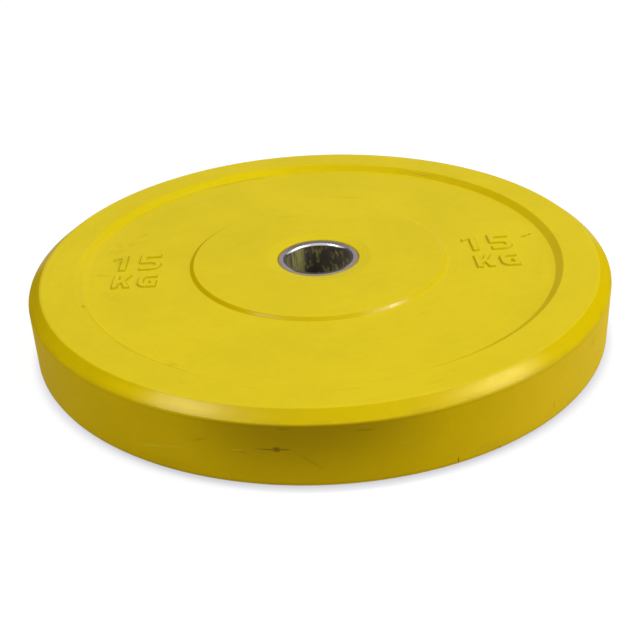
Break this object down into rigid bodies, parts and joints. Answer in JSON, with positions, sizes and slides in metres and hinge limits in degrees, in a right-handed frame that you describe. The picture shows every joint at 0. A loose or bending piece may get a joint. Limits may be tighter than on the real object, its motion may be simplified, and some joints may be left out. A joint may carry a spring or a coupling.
{
  "type": "bumper plate",
  "caption": "Solid rubber weight plate with bevelled edges, recessed faces and a flanged steel bush, for a 50 mm bar sleeve.",
  "frame": {"origin": "middle of the plane that the plate rests on when it lies flat, on the axis of the bore", "axes": "+Z along the bore axis, up through the upper face; the plate is round, so X and Y are any two directions in its face"},
  "size_m": [0.45, 0.45, 0.06],
  "materials": {
    "yellow_rubber": "satin",
    "turned_steel": "satin",
    "raw_steel": "matte",
    "weld_metal": "matte"
  },
  "bodies": {
    "root": {"rubber_body": "yellow_rubber", "bush_sleeve": "turned_steel", "anchor_flange": "raw_steel", "weld_bead_upper": "weld_metal", "weld_bead_lower": "weld_metal"}
  },
  "joints": []
}
